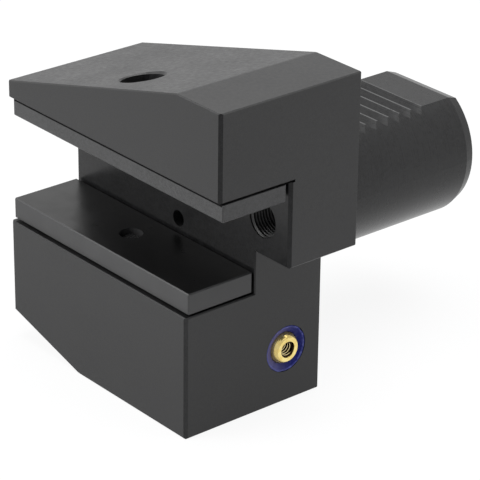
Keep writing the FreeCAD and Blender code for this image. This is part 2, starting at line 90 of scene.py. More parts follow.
class Field:
    """A node socket that takes part in Python arithmetic, one Math node for each step."""

    def __init__(self, graph: "Graph", socket: bpy.types.NodeSocket) -> None:
        """Wraps a socket.

        Args:
            graph: The material's node graph.
            socket: The output socket that this value stands for.
        """
        self.graph = graph
        self.socket = socket

    def _maths(self, operation: str, *values: Link) -> "Field":
        """Adds one Math node.

        Args:
            operation: The Math node's operation.
            values: Its inputs in order.

        Returns:
            The result as a new field.
        """
        return self.graph.add("ShaderNodeMath", {"operation": operation}, dict(enumerate(values)))

    def __add__(self, other: Link) -> "Field":
        """Returns self + other."""
        return self._maths("ADD", self, other)

    def __radd__(self, other: Link) -> "Field":
        """Returns other + self."""
        return self._maths("ADD", other, self)

    def __sub__(self, other: Link) -> "Field":
        """Returns self - other."""
        return self._maths("SUBTRACT", self, other)

    def __rsub__(self, other: Link) -> "Field":
        """Returns other - self."""
        return self._maths("SUBTRACT", other, self)

    def __mul__(self, other: Link) -> "Field":
        """Returns self * other."""
        return self._maths("MULTIPLY", self, other)

    def __rmul__(self, other: Link) -> "Field":
        """Returns other * self."""
        return self._maths("MULTIPLY", other, self)

    def __pow__(self, other: Link) -> "Field":
        """Returns self to the power of other."""
        return self._maths("POWER", self, other)

    def clamped(self) -> "Field":
        """Returns the value held between 0 and 1."""
        return self.graph.add("ShaderNodeClamp", {}, {"Value": self})

    def larger(self, other: Link) -> "Field":
        """Returns the larger of the two values."""
        return self._maths("MAXIMUM", self, other)

    def size(self) -> "Field":
        """Returns the value without its sign."""
        return self._maths("ABSOLUTE", self)

    def smooth(self, low: float, high: float) -> "Field":
        """Returns a smooth step from 0 at low to 1 at high."""
        inputs = {"Value": self, "From Min": low, "From Max": high}
        return self.graph.add("ShaderNodeMapRange", {"interpolation_type": "SMOOTHSTEP"}, inputs)


class Graph:
    """The node graph of one material."""

    def __init__(self, name: str) -> None:
        """Makes an empty material.

        Args:
            name: The material's name.
        """
        self.material = bpy.data.materials.new(name)
        self.material.use_nodes = True
        self.tree = self.material.node_tree
        self.tree.nodes.clear()

    def add(self, kind: str, settings: dict[str, object], inputs: dict[object, Link],
            output: object = 0) -> Field:
        """Adds any node.

        Args:
            kind: The node's type.
            settings: Its properties, set before the inputs.
            inputs: Values or links by socket name or number.
            output: The output socket's name or number.

        Returns:
            The output socket as a field.
        """
        node = self.tree.nodes.new(kind)
        for name, setting in settings.items():
            setattr(node, name, setting)
        for name, given in inputs.items():
            if isinstance(given, Field):
                self.tree.links.new(given.socket, node.inputs[name])
            else:
                node.inputs[name].default_value = given
        return Field(self, node.outputs[output] if node.outputs else None)

    def place(self) -> Field:
        """Returns the surface point in the piece's own metres."""
        return self.add("ShaderNodeTexCoord", {}, {}, "Object")

    def facing(self) -> Field:
        """Returns the way that the flat surface faces, without bumps."""
        return self.add("ShaderNodeNewGeometry", {}, {}, "True Normal")

    def bevelled(self) -> Field:
        """Returns 1 on faces that lean half-way between two axes, as a broken edge does."""
        facing = self.facing()
        parts = [self.axis(facing, name).size() for name in "XYZ"]
        return 1.0 - parts[0].larger(parts[1]).larger(parts[2]).smooth(0.76, 0.84)

    def axis(self, vector: Field, name: str) -> Field:
        """Returns one part, X, Y or Z, of a vector."""
        return self.add("ShaderNodeSeparateXYZ", {}, {0: vector}, name)

    def reach(self, place: Field, row: float, drop: float) -> Field:
        """Returns the distance from a line along X at a given Y and Z in millimetres."""
        across = self.axis(place, "Y") - row * MM
        along = self.axis(place, "Z") - drop * MM
        return (across * across + along * along) ** 0.5

    def stretch(self, vector: Field, scale: Sequence[float]) -> Field:
        """Returns a vector multiplied part by part."""
        return self.add("ShaderNodeVectorMath", {"operation": "MULTIPLY"}, {0: vector, 1: scale})

    def cloud(self, vector: Field, size: float, detail: float = 2.0) -> Field:
        """Adds a noise texture.

        Args:
            vector: Where it is read, in metres.
            size: The size of its spots in millimetres.
            detail: The number of finer layers.

        Returns:
            A value near one half that varies.
        """
        inputs = {"Vector": vector, "Scale": 1.0 / (size * MM), "Detail": detail, "Roughness": 0.55}
        return self.add("ShaderNodeTexNoise", {}, inputs, "Fac")

    def mix(self, factor: Link, first: Link, second: Link) -> Field:
        """Returns a mix of two colours."""
        inputs = {0: factor, 6: first, 7: second}
        return self.add("ShaderNodeMix", {"data_type": "RGBA"}, inputs, 2)

    def bump(self, height: Field, depth: float) -> Field:
        """Returns the normal of a surface raised by a height times a depth in millimetres."""
        return self.add("ShaderNodeBump", {}, {"Height": height, "Distance": depth * MM})

    def shader(self, inputs: dict[str, Link]) -> Field:
        """Returns a Principled shader with the given values or links."""
        return self.add("ShaderNodeBsdfPrincipled", {}, inputs)

    def blend(self, factor: Link, first: Field, second: Field) -> Field:
        """Returns a mix of two shaders."""
        return self.add("ShaderNodeMixShader", {}, {0: factor, 1: first, 2: second})

    def finish(self, shader: Field) -> bpy.types.Material:
        """Ends the graph in a shader.

        Args:
            shader: The whole surface.

        Returns:
            The material.
        """
        self.add("ShaderNodeOutputMaterial", {}, {"Surface": shader})
        return self.material


class WorldGraph(Graph):
    """The node graph of the world."""

    def __init__(self, name: str) -> None:
        """Makes an empty world and sets it.

        Args:
            name: The world's name.
        """
        world = bpy.data.worlds.new(name)
        world.use_nodes = True
        self.tree = world.node_tree
        self.tree.nodes.clear()
        bpy.context.scene.world = world


@dataclass(frozen=True)
class BlackOxide:
    """Steel with a black oxide skin: dark, dull, with a fine grain and faint clouds."""

    name: str
    slot: str = "black_steel"
    tone: tuple[float, float, float] = (0.011, 0.011, 0.0113)
    darkest: float = 0.4
    lightest: float = 2.0
    clouded: float = 0.35
    roughness: float = 0.45
    rough_clouds: float = 0.2
    rough_flecks: float = 0.3
    grain: float = 0.3
    grain_depth: float = 0.035
    fleck_grains: float = 3.7
    cloud_size: float = 14.0
    # A lighter tone for wear, which on the block also paints a highlight on the serration's crests and ends.
    wear_and_highlight_tone: tuple[float, float, float] = (0.12, 0.12, 0.12)
    wear_and_highlight_share: float = 0.45
    gloss: float = 0.48

    def coarse(self, graph: Graph, place: Field) -> Link:
        """Returns how strong the grain is at a place: full, for this finish."""
        return 1.0

    def polish(self, graph: Graph, place: Field) -> Link:
        """Returns how much smoother the skin is at a place: nowhere, for this finish."""
        return 0.0

    def make(self) -> bpy.types.Material:
        """Returns the material."""
        graph = Graph(self.name)
        place = graph.place()
        grain = graph.cloud(place, self.grain, 3.0)
        fleck = graph.cloud(place, self.grain * self.fleck_grains, 2.0)
        clouds = graph.cloud(place, self.cloud_size, 3.0)
        dark = tuple(self.darkest * part for part in self.tone)
        light = tuple(self.lightest * part for part in self.tone)
        skin = graph.mix((grain * 0.6 + fleck * 0.4).smooth(0.3, 0.7), (*dark, 1.0), (*light, 1.0))
        skin = graph.mix(clouds.smooth(0.35, 0.7) * self.clouded, skin, (*light, 1.0))
        patches = (fleck * 0.5 + clouds * 0.5).smooth(0.25, 0.5)
        wear_and_highlight = (self.wear_and_highlight(graph, place) * patches * self.wear_and_highlight_share).clamped()
        skin = graph.mix(wear_and_highlight, skin, (*self.wear_and_highlight_tone, 1.0))
        coarse = self.coarse(graph, place)
        uneven = (clouds - 0.5) * self.rough_clouds + (fleck - 0.5) * self.rough_flecks
        rough = self.roughness + uneven * coarse - self.polish(graph, place)
        height = (grain * 0.7 + fleck * 0.3) * coarse
        inputs = {"Base Color": skin, "Roughness": rough, "Specular IOR Level": self.gloss,
                  "Normal": graph.bump(height, self.grain_depth)}
        return graph.finish(self.surface(graph, place, inputs))

    def wear_and_highlight(self, graph: Graph, place: Field) -> Link:
        """Returns how far the skin wears through at a place: along the broken edges."""
        return graph.bevelled()

    def surface(self, graph: Graph, place: Field, inputs: dict[str, Link]) -> Field:
        """Returns the shader that the skin ends in."""
        return graph.shader(inputs)


@dataclass(frozen=True)
class HolderSkin(BlackOxide):
    """The block's skin, smoother on the shank and in the slot, lighter on the serration's crests and ends from
    wear and a painted highlight, and with painted shade in places.

    The places along the shank and the block are in millimetres from the shank's axis and the flange face.
    """

    shank_start: float = 0.3
    shank_radius: float = 20.0
    slot_wall: float = -21.8
    slot_floor: float = -9.6
    block_floor: float = -43.0
    crest_height: float = 16.0
    crest_end: float = 50.3
    smoother: float = 0.17
    turned_rings: float = 0.06
    shank_even: float = 0.93
    slot_even: float = 0.97
    # Shares of the lighter skin on the crests and ends: wear, and a painted highlight.
    crest_wear_and_highlight: float = 1.5
    end_wear_and_highlight: float = 0.5
    # The less glossy copy that paints shade, and its shares on the shank, the shank's underside, the slot and the
    # lower block.
    shaded_gloss: float = 0.2
    shank_shade: float = 0.45
    shank_underside_sheen: float = 0.4
    slot_shade: float = 0.7
    low_shade: float = 0.3
    jaw_edges: float = 0.5

    def on_shank(self, graph: Graph, place: Field) -> Field:
        """Returns 1 on the shank."""
        return graph.axis(place, "Y").smooth(0.0, self.shank_start * MM)

    def in_slot(self, graph: Graph, place: Field) -> Field:
        """Returns 1 on the slot's back wall and on the top of the lower jaw."""
        facing = graph.facing()
        frontward = graph.axis(facing, "Y").smooth(-0.9, -0.98)
        upward = graph.axis(facing, "Z").smooth(0.9, 0.98)
        behind = graph.axis(place, "Y").smooth((self.slot_wall - 0.3) * MM, (self.slot_wall - 0.1) * MM)
        below = graph.axis(place, "Z").smooth(0.0, (self.slot_floor + 0.5) * MM)
        return (frontward * behind).larger(upward * below)

    def coarse(self, graph: Graph, place: Field) -> Link:
        """Returns how strong the grain is at a place: faint on the shank and in the slot."""
        shank, slot = self.on_shank(graph, place), self.in_slot(graph, place)
        return 1.0 - (shank * self.shank_even).larger(slot * self.slot_even)

    def polish(self, graph: Graph, place: Field) -> Link:
        """Returns how much smoother the skin is: on the shank, with fine turned rings, and in the slot."""
        rings = graph.cloud(graph.stretch(place, (0.02, 1.0, 0.02)), 0.35, 2.0)
        ground = self.on_shank(graph, place) * (self.smoother + (rings - 0.5) * self.turned_rings)
        return ground + self.in_slot(graph, place) * self.smoother

    def wear_and_highlight(self, graph: Graph, place: Field) -> Link:
        """Returns how much lighter the skin is on the serration's crests and at its ends: bare-metal wear, and a
        painted highlight.
        """
        along, height = graph.axis(place, "Y"), graph.axis(place, "Z")
        across = graph.axis(place, "X")
        facing, shank = graph.facing(), self.on_shank(graph, place)
        crest = graph.axis(facing, "Z").smooth(0.97, 0.995) * shank
        crest = crest * height.smooth((self.crest_height - 0.2) * MM, (self.crest_height - 0.1) * MM)
        crest = crest * (1.0 - along.smooth(self.crest_end * MM, (self.crest_end + 0.1) * MM))
        reach = (across * across + height * height) ** 0.5
        ends = graph.axis(facing, "Y").smooth(-0.5, -0.6) * shank
        ends = ends * reach.smooth((self.shank_radius - 2.4) * MM, (self.shank_radius - 0.4) * MM)
        return crest * self.crest_wear_and_highlight + ends * self.end_wear_and_highlight

    def surface(self, graph: Graph, place: Field, inputs: dict[str, Link]) -> Field:
        """Returns the shader, with painted shade from a less glossy copy on the shank, in the slot, at broken
        edges and lower down, and less of it on the shank's underside as a painted sheen.
        """
        # Painted shade: a less glossy copy darkens the shank, its crests and rear faces, the slot's back wall and
        # jaw top, the upright broken edges and the lower block.
        facing, shank = graph.facing(), self.on_shank(graph, place)
        upward, backward = graph.axis(facing, "Z"), graph.axis(facing, "Y")
        turned_away = upward.smooth(0.97, 0.995) + backward.smooth(0.1, 0.3)
        height = graph.axis(place, "Z")
        # Painted sheen: less of that shade on the shank's underside.
        under = height.smooth(-3.0 * MM, -0.8 * self.shank_radius * MM) * self.shank_underside_sheen
        along = shank * (self.shank_shade + turned_away * (1.0 - self.shank_shade) - under)
        upright = 1.0 - upward.size().smooth(0.1, 0.3)
        jaw = height.smooth(0.0, self.slot_floor * 0.5 * MM)
        edge = graph.bevelled() * (1.0 - shank) * upright.larger(jaw) * (1.0 - jaw * self.jaw_edges)
        low = height.smooth(0.0, self.block_floor * MM) * self.low_shade
        part = along.larger(self.in_slot(graph, place) * self.slot_shade).larger(edge).larger(low)
        shaded_inputs = {**inputs, "Specular IOR Level": self.shaded_gloss}
        return graph.blend(part, graph.shader(inputs), graph.shader(shaded_inputs))


@dataclass(frozen=True)
class PlateSkin(BlackOxide):
    """The support plate's skin, with a painted shadow line in the joint above its front face."""

    joint: float = 24.15
    # Colour of the painted shadow line along the joint.
    gap_shadow: tuple[float, float, float] = (0.004, 0.004, 0.004)

    def surface(self, graph: Graph, place: Field, inputs: dict[str, Link]) -> Field:
        """Returns the skin's shader, and a dark dull one along the joint as a painted shadow line."""
        frontward = graph.axis(graph.facing(), "Y").smooth(-0.9, -0.98)
        along = graph.axis(place, "Z").smooth((self.joint - 0.12) * MM, (self.joint + 0.03) * MM)
        # Painted shadow: the front face turns dark and dull in a thin strip along the joint.
        gap_shadow = {"Base Color": (*self.gap_shadow, 1.0), "Roughness": 0.8, "Specular IOR Level": 0.1}
        return graph.blend(frontward * along, graph.shader(inputs), graph.shader(gap_shadow))


@dataclass(frozen=True)
class GroundBlack:
    """Steel with a black skin, dull at the sides, ground smooth on top with fine lines along the slot."""

    name: str
    slot: str = "black_steel"
    tone: tuple[float, float, float] = (0.003, 0.003, 0.0031)
    side: tuple[float, float, float] = (0.04, 0.04, 0.0406)
    lightest: float = 1.7
    roughness: float = 0.33
    rough_lines: float = 0.12
    rough_clouds: float = 0.24
    dull: float = 0.12
    lines: tuple[float, float, float] = (0.04, 1.0, 1.0)

    def make(self) -> bpy.types.Material:
        """Returns the material."""
        graph = Graph(self.name)
        place = graph.place()
        lines = graph.cloud(graph.stretch(place, self.lines), 0.22, 3.0)
        grain = graph.cloud(place, 0.3, 2.0)
        clouds = graph.cloud(place, 6.0, 4.0)
        beside = 1.0 - graph.axis(graph.facing(), "Z").smooth(0.8, 0.95)
        light = tuple(self.lightest * part for part in self.tone)
        skin = graph.mix((lines * 0.5 + grain * 0.5).smooth(0.35, 0.7), (*self.tone, 1.0), (*light, 1.0))
        skin = graph.mix(beside * (0.8 + grain * 0.4), skin, (*self.side, 1.0))
        uneven = (lines - 0.5) * self.rough_lines + (clouds - 0.5) * self.rough_clouds
        rough = self.roughness + uneven + beside * self.dull
        height = lines * 0.6 + grain * 0.4 + clouds * 0.8
        return graph.finish(graph.shader({"Base Color": skin, "Roughness": rough,
                                          "Normal": graph.bump(height, 0.008)}))


@dataclass(frozen=True)
class TurnedMetal:
    """Bare metal off a lathe or grinder, with a fine grain and soft clouds."""

    name: str
    slot: str
    tone: tuple[float, float, float]
    shade: tuple[float, float, float]
    roughness: float = 0.22

    def make(self) -> bpy.types.Material:
        """Returns the material."""
        graph = Graph(self.name)
        place = graph.place()
        fine = graph.cloud(place, 0.25, 3.0)
        clouds = graph.cloud(place, 2.5, 2.0)
        mottle = (fine * 0.35 + clouds * 0.65).smooth(0.35, 0.7)
        skin = graph.mix(mottle, (*self.shade, 1.0), (*self.tone, 1.0))
        rough = self.roughness + (fine - 0.5) * 0.14
        return graph.finish(graph.shader({"Base Color": skin, "Metallic": 1.0, "Roughness": rough,
                                          "Normal": graph.bump(fine, 0.004)}))


@dataclass(frozen=True)
class NozzleBrass:
    """Pale turned brass, with painted shade browning its sides, painted shade inside the bore and a painted
    highlight on the thread crests.
    """

    row: float
    drop: float
    name: str = "brass"
    slot: str = "brass"
    tone: tuple[float, float, float] = (0.95, 0.80, 0.34)
    shade: tuple[float, float, float] = (0.80, 0.60, 0.19)
    barrel_shade: tuple[float, float, float] = (0.50, 0.35, 0.10)
    # Painted shade deep in the bore, and a painted highlight on the thread crests.
    depth: tuple[float, float, float] = (0.02, 0.012, 0.005)
    crest: tuple[float, float, float] = (0.95, 0.80, 0.42)
    roughness: float = 0.22
    bore: float = 2.1
    thread_top: float = 1.66
    flat: float = 3.15
    side_shade: float = 0.3
    side_dull: float = 0.35

    def make(self) -> bpy.types.Material:
        """Returns the material."""
        graph = Graph(self.name)
        place = graph.place()
        fine = graph.cloud(graph.stretch(place, (1.0, 0.35, 0.35)), 0.12, 3.0)
        clouds = graph.cloud(place, 1.6, 2.0)
        mottle = (fine * 0.3 + clouds * 0.7).smooth(0.35, 0.68)
        skin = graph.mix(mottle, (*self.shade, 1.0), (*self.tone, 1.0))
        reach = graph.reach(place, self.row, self.drop)
        # Painted shade: the ball's sides beyond the flat face are tinted browner.
        beside = reach.smooth(self.flat * MM, (self.flat + 0.15) * MM)
        skin = graph.mix(beside * self.side_shade, skin, (*self.barrel_shade, 1.0))
        # Painted shade in the bore, with a painted highlight on the thread crests.
        deeper = reach.smooth(self.thread_top * MM, (self.thread_top + 0.08) * MM)
        inside = graph.mix(deeper, (*self.crest, 1.0), (*self.depth, 1.0))
        skin = graph.mix(reach.smooth((self.bore - 0.02) * MM, (self.bore + 0.1) * MM), inside, skin)
        rough = self.roughness + (fine - 0.5) * 0.12 + (clouds - 0.5) * 0.08
        metallic = 1.0 - beside * self.side_dull
        return graph.finish(graph.shader({"Base Color": skin, "Metallic": metallic, "Roughness": rough,
                                          "Normal": graph.bump(fine, 0.004)}))


@dataclass(frozen=True)
class BlueSeat:
    """The dark blue seat ring, smooth and a little uneven, with a painted highlight along its thin rim, faint pale
    spots, and painted light towards the front.
    """

    row: float
    drop: float
    name: str = "blue_seat"
    slot: str = "blue_plastic"
    deep: tuple[float, float, float] = (0.002, 0.006, 0.15)
    # Colour of the painted highlight along the rim.
    pale: tuple[float, float, float] = (0.16, 0.18, 0.55)
    # Painted light: the lighter tone towards the front.
    front_light_tone: tuple[float, float, float] = (0.10, 0.10, 0.30)
    rim: float = 5.8
    wander: float = 0.9
    gloss: float = 0.14

    def make(self) -> bpy.types.Material:
        """Returns the material."""
        graph = Graph(self.name)
        place = graph.place()
        reach = graph.reach(place, self.row, self.drop)
        uneven = graph.cloud(place, 2.2, 2.0)
        wavy = reach + (uneven - 0.5) * (self.wander * MM)
        edge = wavy.smooth((self.rim - 0.2) * MM, (self.rim + 0.1) * MM)
        edge = edge * (1.0 - wavy.smooth((self.rim + 0.2) * MM, (self.rim + 0.42) * MM))
        wear_and_highlight = graph.cloud(place, 1.3, 2.0).smooth(0.42, 0.7)
        # Painted light: the dish grows lighter towards the front.
        front = graph.axis(place, "Y").smooth((self.row + 3.0) * MM, (self.row - 4.0) * MM)
        base = graph.mix(front, (*self.deep, 1.0), (*self.front_light_tone, 1.0))
        # Painted highlight along the thin rim, and faint pale spots.
        rim_highlight_and_spots = (edge * (0.35 + wear_and_highlight * 0.65)).larger(wear_and_highlight * 0.15)
        skin = graph.mix(rim_highlight_and_spots, base, (*self.pale, 1.0))
        rough = 0.3 + uneven * 0.15
        return graph.finish(graph.shader({"Base Color": skin, "Roughness": rough,
                                          "Specular IOR Level": self.gloss,
                                          "Normal": graph.bump(uneven, 0.05)}))


@dataclass(frozen=True)
class SealRubber:
    """Matt black rubber."""

    name: str = "seal_rubber"
    slot: str = "seal_rubber"
    tone: tuple[float, float, float] = (0.012, 0.012, 0.012)
    dusty: tuple[float, float, float] = (0.03, 0.03, 0.03)

    def make(self) -> bpy.types.Material:
        """Returns the material."""
        graph = Graph(self.name)
        dust = graph.cloud(graph.place(), 0.5, 3.0)
        skin = graph.mix(dust.smooth(0.4, 0.8), (*self.tone, 1.0), (*self.dusty, 1.0))
        return graph.finish(graph.shader({"Base Color": skin, "Roughness": 0.55 + dust * 0.15,
                                          "Normal": graph.bump(dust, 0.01)}))


@dataclass
class Ring:
    """One ring of a turned form."""

    height: float
    radius: float
    shape: Shape = Shape.ROUND


class Builder:
    """Makes meshes in millimetres about +Z and puts them in place as pieces."""

    points = 96
    knurl_depth = 0.18

    def __init__(self, finishes: dict[str, bpy.types.Material]) -> None:
        """Keeps the finishes that pieces take.

        Args:
            finishes: Materials by name.
        """
        self.finishes = finishes

    def reach(self, ring: Ring, angle: float, index: int) -> float:
        """Returns the distance from the axis of one point of a ring."""
        if ring.shape is Shape.HEXAGON:
            turn = angle % math.radians(60) - math.radians(30)
            return ring.radius / math.cos(turn)
        if ring.shape is Shape.KNURL:
            return ring.radius - self.knurl_depth * (index % 2)
        return ring.radius

    def turned(self, rings: Sequence[Ring], closed: bool = False, points: int = 0) -> bmesh.types.BMesh:
        """Makes a turned form, either solid with two end caps or closed like a tyre.

        Args:
            rings: The form's rings in order.
            closed: Whether the last ring joins the first.
            points: The number of points round it, or 0 for the usual one.

        Returns:
            The mesh.
        """
        count = points or self.points
        mesh = bmesh.new()
        rows = []
        for ring in rings:
            row = []
            for index in range(count):
                angle = 2 * math.pi * index / count
                reach = self.reach(ring, angle, index)
                row.append(mesh.verts.new((reach * math.cos(angle), reach * math.sin(angle), ring.height)))
            rows.append(row)
        pairs = list(zip(rows, rows[1:] + rows[:1])) if closed else list(zip(rows, rows[1:]))
        for low, high in pairs:
            for index in range(count):
                after = (index + 1) % count
                mesh.faces.new((low[index], low[after], high[after], high[index]))
        if not closed:
            mesh.faces.new(list(reversed(rows[0])))
            mesh.faces.new(rows[-1])
        return mesh

    def ridge(self, mesh: bmesh.types.BMesh, start: float, end: float, base: float, crest: float,
              pitch: float, points: int = 60) -> None:
        """Winds one thread ridge onto a form, fading out at both ends.

        Args:
            mesh: The form that gets it.
            start: The height of its first turn.
            end: The height of its last turn.
            base: The radius of its foot, a little inside the form.
            crest: The radius of its flat top.
            pitch: The rise of one turn.
            points: The number of steps in one turn.
        """
        steps = int((end - start) / pitch * points)
        fade = points // 3
        rows = []
        for step in range(steps + 1):
            angle = 2 * math.pi * step / points
            height = start + pitch * step / points
            share = min(1.0, step / fade, (steps - step) / fade)
            top = base + (crest - base) * share
            row = []
            for reach, offset in ((base, -0.46), (top, -0.07), (top, 0.07), (base, 0.46)):
                place = (reach * math.cos(angle), reach * math.sin(angle), height + offset * pitch)
                row.append(mesh.verts.new(place))
            rows.append(row)
        outward = crest > base
        for low, high in zip(rows, rows[1:]):
            for index in range(4):
                after = (index + 1) % 4
                corners = (low[index], high[index], high[after], low[after])
                mesh.faces.new(corners if outward else tuple(reversed(corners)))
        mesh.faces.new(rows[0] if outward else list(reversed(rows[0])))
        mesh.faces.new(list(reversed(rows[-1])) if outward else rows[-1])

    def piece(self, name: str, mesh: bmesh.types.BMesh, place: Sequence[float], way: Axis, finish: str,
              slot: str, body: str, replaced: Sequence[str] = (), sharp: float = 35.0) -> bpy.types.Object:
        """Puts a form in place as a piece of the scene.

        Args:
            name: The piece's name.
            mesh: Its form in millimetres about +Z.
            place: Where its origin goes, in millimetres.
            way: The way that its +Z goes.
            finish: The name of its material.
            slot: The record's material slot; not used.
            body: The body that it rides on.
            replaced: The solids that it stands for.
            sharp: The angle in degrees from which an edge stays sharp.

        Returns:
            The new object.
        """
        move = Matrix.Translation(Vector(place) * MM) @ way.matrix() @ Matrix.Scale(MM, 4)
        bmesh.ops.transform(mesh, matrix=move, verts=mesh.verts)
        bmesh.ops.recalc_face_normals(mesh, faces=mesh.faces)
        for face in mesh.faces:
            face.smooth = True
        for edge in mesh.edges:
            edge.smooth = edge.calc_face_angle(math.pi) < math.radians(sharp)
        data = bpy.data.meshes.new(name)
        mesh.to_mesh(data)
        mesh.free()
        piece = bpy.data.objects.new(name, data)
        bpy.context.scene.collection.objects.link(piece)
        data.materials.append(self.finishes[finish])
        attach(piece, body)
        if replaced:
            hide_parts(*replaced)
        LOG.info("%s: %d faces", name, len(data.polygons))
        return piece


@dataclass
class Thread:
    """The sizes of a screw thread in millimetres."""

    major: float
    pitch: float

    @property
    def minor(self) -> float:
        """The radius at the foot of the ridge."""
        return self.major - 0.61 * self.pitch


@dataclass
class SocketScrew:
    """A screw with a hexagon socket, from its socket face at 0 up to its tip."""

    name: str
    thread: Thread
    length: float
    socket: float
    socket_deep: float
    body: str
    head: tuple[float, float] | None = None
    finish: str = "screw_black"
    slot: str = "screw_steel"

    def socket_rings(self, edge: float) -> list[Ring]:
        """Returns the rings of the socket and its face, from the bottom out to a radius."""
        half = self.socket / 2
        deep = self.socket_deep
        return [
            Ring(deep + 0.28 * self.socket, 0.02),
            Ring(deep + 0.02, 0.93 * half),
            Ring(deep, half, Shape.HEXAGON),
            Ring(0.3, half, Shape.HEXAGON),
            Ring(0.0, half * 1.16),
            Ring(0.0, edge),
        ]

    def rings(self) -> list[Ring]:
        """Returns all rings of the screw from the socket's bottom to the tip."""
        core, outer = self.thread.minor, self.thread.major
        if self.head:
            radius, high = self.head
            rings = self.socket_rings(radius - 0.7)
            rings += [Ring(0.12, radius - 0.35), Ring(0.5, radius - 0.04), Ring(0.7, radius - 0.02)]
            rings += [Ring(0.9, radius, Shape.KNURL), Ring(high - 0.8, radius, Shape.KNURL)]
            rings += [Ring(high - 0.6, radius - 0.02), Ring(high - 0.12, radius - 0.04)]
            rings += [Ring(high, radius - 0.2), Ring(high, outer + 0.25), Ring(high + 0.25, outer - 0.02)]
            rings += [Ring(high + 0.9, outer - 0.02), Ring(high + 1.2, core)]
            tip = high + self.length
        else:
            rings = self.socket_rings(core - 0.25)
            rings += [Ring(0.25, core)]
            tip = self.length
        return rings + [Ring(tip - 0.5, core), Ring(tip, core - 0.5)]

    def build(self, builder: Builder, place: Sequence[float], way: Axis) -> bpy.types.Object:
        """Builds the screw with its thread.

        Args:
            builder: The mesh builder.
            place: The socket face's centre, in millimetres.
            way: The way from the socket to the tip.

        Returns:
            The new object, which stands for the solid of the same name.
        """
        mesh = builder.turned(self.rings())
        foot = self.head[1] + 1.0 if self.head else 0.3
        tip = (self.head[1] if self.head else 0.0) + self.length
        half = self.thread.pitch / 2
        builder.ridge(mesh, foot + half, tip - 0.3 - half, self.thread.minor - 0.05,
                      self.thread.major - 0.02, self.thread.pitch)
        return builder.piece(self.name, mesh, place, way, self.finish, self.slot, self.body, (self.name,))


@dataclass
class TappedHole:
    """The thread ridge inside a tapped hole."""

    name: str
    thread: Thread
    deep: float
    body: str = "holder"
    finish: str = "bore_black"
    slot: str = "black_steel"

    def build(self, builder: Builder, place: Sequence[float], way: Axis) -> bpy.types.Object:
        """Builds the ridge, from the hole's mouth inward.

        Args:
            builder: The mesh builder.
            place: The mouth's centre, in millimetres.
            way: The way from the mouth inward.

        Returns:
            The new object.
        """
        mesh = bmesh.new()
        half = self.thread.pitch / 2
        builder.ridge(mesh, half, self.deep - half, self.thread.major + 0.04, self.thread.minor,
                      self.thread.pitch, 72)
        return builder.piece(self.name, mesh, place, way, self.finish, self.slot, self.body)


class Frame:
    """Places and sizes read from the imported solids, in millimetres."""

    def __init__(self) -> None:
        """Reads the boxes of all nodes once."""
        self.boxes = {}
        for node in frame["nodes"]:
            self.boxes[node] = tuple(Vector(corner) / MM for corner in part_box(node))

    def low(self, node: str) -> Vector:
        """Returns a node's lowest corner."""
        return self.boxes[node][0]

    def high(self, node: str) -> Vector:
        """Returns a node's highest corner."""
        return self.boxes[node][1]

    def middle(self, node: str) -> Vector:
        """Returns the middle of a node's box."""
        return (self.low(node) + self.high(node)) / 2

    def size(self, node: str) -> Vector:
        """Returns the edges of a node's box."""
        return self.high(node) - self.low(node)

    def mount(self, name: str) -> Vector:
        """Returns the place of a mount."""
        found = next(mount for mount in frame["record"]["mounts"] if mount["name"] == name)
        return Vector(found["pos_m"]) / MM


@dataclass
class HolderBlock:
    """The solids that keep their form, dressed, and the threads cut into the block."""

    sizes: Frame
    builder: Builder
    port_deep: float = 9.0
    far_below: float = -100.0
    port: Thread = field(default_factory=lambda: Thread(4.86, 0.907))
    clamp: Thread = field(default_factory=lambda: Thread(5.15, 1.5))

    def build(self) -> None:
        """Dresses the solids and adds the threads."""
        dressing = {
            "holder_body": "body_black",
            "support_plate": "plate_black",
            "clamping_plate": "clamp_black",
            "support_plate_pin_1": "bright_steel",
            "support_plate_pin_2": "bright_steel",
            "nozzle_seal": "seal_rubber",
            "shank_seal": "seal_rubber",
        }
        for node, finish in dressing.items():
            self.dress(node, finish)
        port = TappedHole("wall_port_thread", self.port, self.port_deep)
        port.build(self.builder, self.sizes.mount("wall_port"), Axis.BACK)
        for number in range(1, 5):
            screw = f"clamp_screw_{number}"
            middle = self.sizes.middle(screw)
            foot = self.underside(middle.x, middle.y)
            deep = self.sizes.low(screw).z - foot - 0.2
            hole = TappedHole(f"clamp_thread_{number}", self.clamp, deep)
            hole.build(self.builder, (middle.x, middle.y, foot + 0.1), Axis.UP)

    def underside(self, across: float, row: float) -> float:
        """Returns the height of the block's underside at the uphill edge of a clamping screw's hole.

        Args:
            across: The place of the hole's axis along X in millimetres.
            row: The place of its axis along Y in millimetres.

        Returns:
            The height in millimetres.
        """
        beside = self.clamp.major + 0.3
        starts = [(across - beside, row), (across + beside, row)]
        body = frame["nodes"]["holder_body"]
        hits = [body.ray_cast(Vector((x, y, self.far_below)) * MM, (0.0, 0.0, 1.0)) for x, y in starts]
        return max(hit[1].z for hit in hits) / MM

    def dress(self, node: str, finish: str) -> None:
        """Gives a solid its material.

        Args:
            node: The solid's name.
            finish: The material's name.
        """
        materials = frame["nodes"][node].data.materials
        materials.clear()
        materials.append(self.builder.finishes[finish])
        LOG.info("%s: dressed in %s", node, finish)


